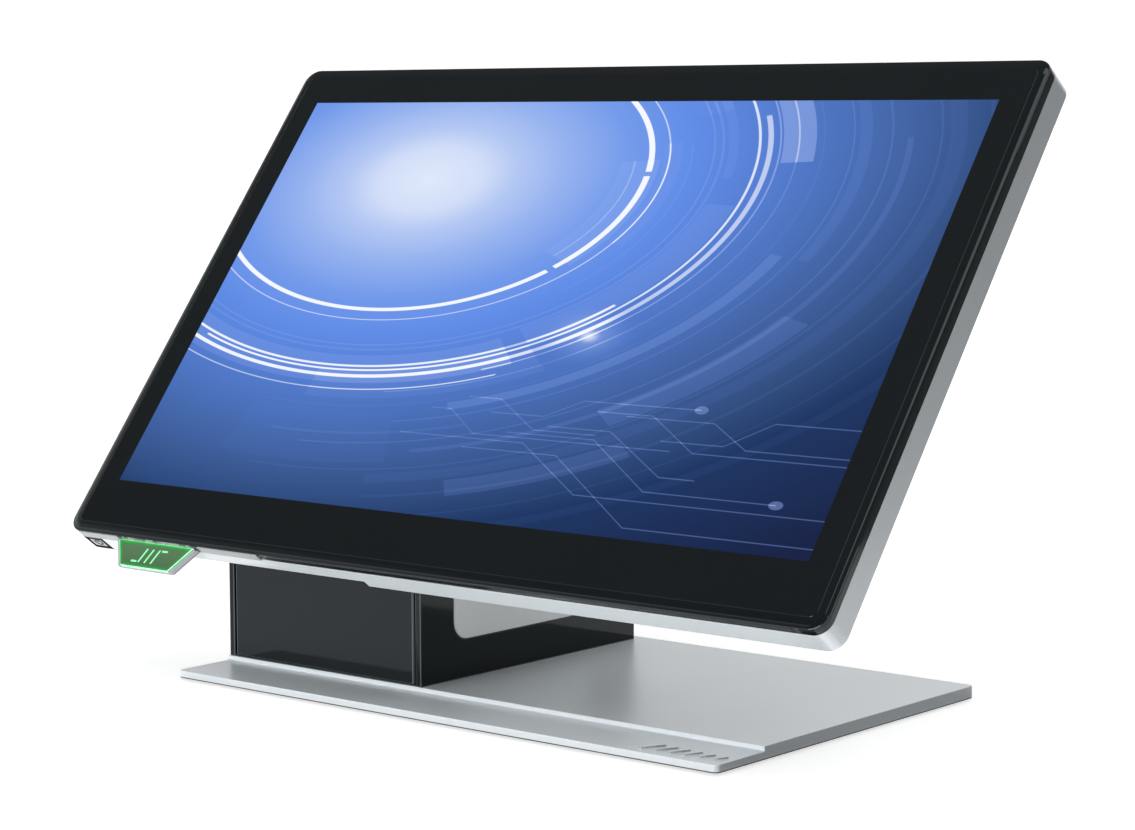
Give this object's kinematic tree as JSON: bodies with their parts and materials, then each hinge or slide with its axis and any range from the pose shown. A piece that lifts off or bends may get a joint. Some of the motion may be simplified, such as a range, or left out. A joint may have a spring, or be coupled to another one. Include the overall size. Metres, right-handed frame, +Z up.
{
  "type": "all-in-one touch computer",
  "caption": "Wide touch screen on a tilt hinge over an offset black pedestal and thin metal base plate, with a green light tab and a power button.",
  "frame": {"origin": "on the table under the centre of the base plate", "axes": "+X to the right of a person facing the screen, +Y to the back, +Z up"},
  "size_m": [0.3758, 0.185, 0.2462],
  "materials": {
    "aluminium_satin": "satin, fine brushed",
    "rubber_black": "matte",
    "shell_black": "high gloss",
    "panel_black": "high gloss",
    "cover_black": "fine texture",
    "inlet_black": "matte",
    "steel_sheet": "zinc plated",
    "arm_grey": "satin, bead blasted",
    "cover_grey": "satin",
    "supply_case": "plated sheet case",
    "screw_dark": "black zinc",
    "washer_bronze": "dry",
    "glass_black": "polished, black printed border",
    "bezel_black": "gloss",
    "display": "lit display module",
    "housing_silver": "silver satin lacquer",
    "cover_graphite": "fine texture",
    "strip_silver": "satin",
    "insert_grey": "matte",
    "tab_green": "edge-lit acrylic",
    "window_clear": "clear strip over the tab's lights",
    "holder_silver": "satin",
    "board_green": "solder resist",
    "button_silver": "satin",
    "chip_black": "matte",
    "heat_sink_metal": "extruded",
    "socket_shield": "tinned",
    "socket_black": "matte",
    "shaft_steel": "ground",
    "sleeve_dark": "satin"
  },
  "bodies": {
    "stand": {"base_plate": "aluminium_satin", "anti_slip_mat": "rubber_black", "pedestal_shell": "shell_black", "pedestal_front_panel": "panel_black", "pedestal_back_cover": "cover_black", "mains_inlet": "inlet_black", "foot_bracket": "steel_sheet", "neck_arm": "arm_grey", "neck_back_cover": "cover_grey", "power_supply": "supply_case", "foot_screws": "screw_dark", "arm_screws": "screw_dark", "friction_washers": "washer_bronze", "shaft_caps": "cover_grey"},
    "head": {"touch_glass": "glass_black", "bezel_frame": "bezel_black", "display_panel": "display", "chassis_plate": "steel_sheet", "rear_housing": "housing_silver", "rear_cover": "cover_graphite", "module_strip": "strip_silver", "strip_window": "window_clear", "strip_inserts": "insert_grey", "light_tab": "tab_green", "tab_holder": "holder_silver", "light_board": "board_green", "button_bezel": "chip_black", "button_board": "board_green", "mainboard": "board_green", "processor": "chip_black", "heat_sink": "heat_sink_metal", "memory_module": "board_green", "drive_module": "board_green", "touch_controller": "board_green", "speakers": "chip_black", "connector_plate": "socket_shield", "network_socket": "socket_shield", "serial_sockets": "socket_black", "usb_sockets": "socket_shield", "drawer_socket": "socket_black", "power_jack": "socket_black", "backing_plate": "steel_sheet", "hinge_bracket": "steel_sheet", "hinge_shaft": "shaft_steel", "hinge_sleeve": "sleeve_dark", "bracket_screws": "screw_dark", "cover_screws": "screw_dark"},
    "button": {"power_button": "button_silver"}
  },
  "joints": [
    {"name": "screen_tilt", "type": "hinge", "parent": "stand", "child": "head", "pos_m": [0, 0.0265, 0.104], "axis": [-1, 0, 0], "range_deg": [-10, 32]},
    {"name": "button_press", "type": "slide", "parent": "head", "child": "button", "axis": [0, 0.6088, 0.7934], "range_m": [0, 0.0008], "stiffness_N_per_m": 2500}
  ]
}
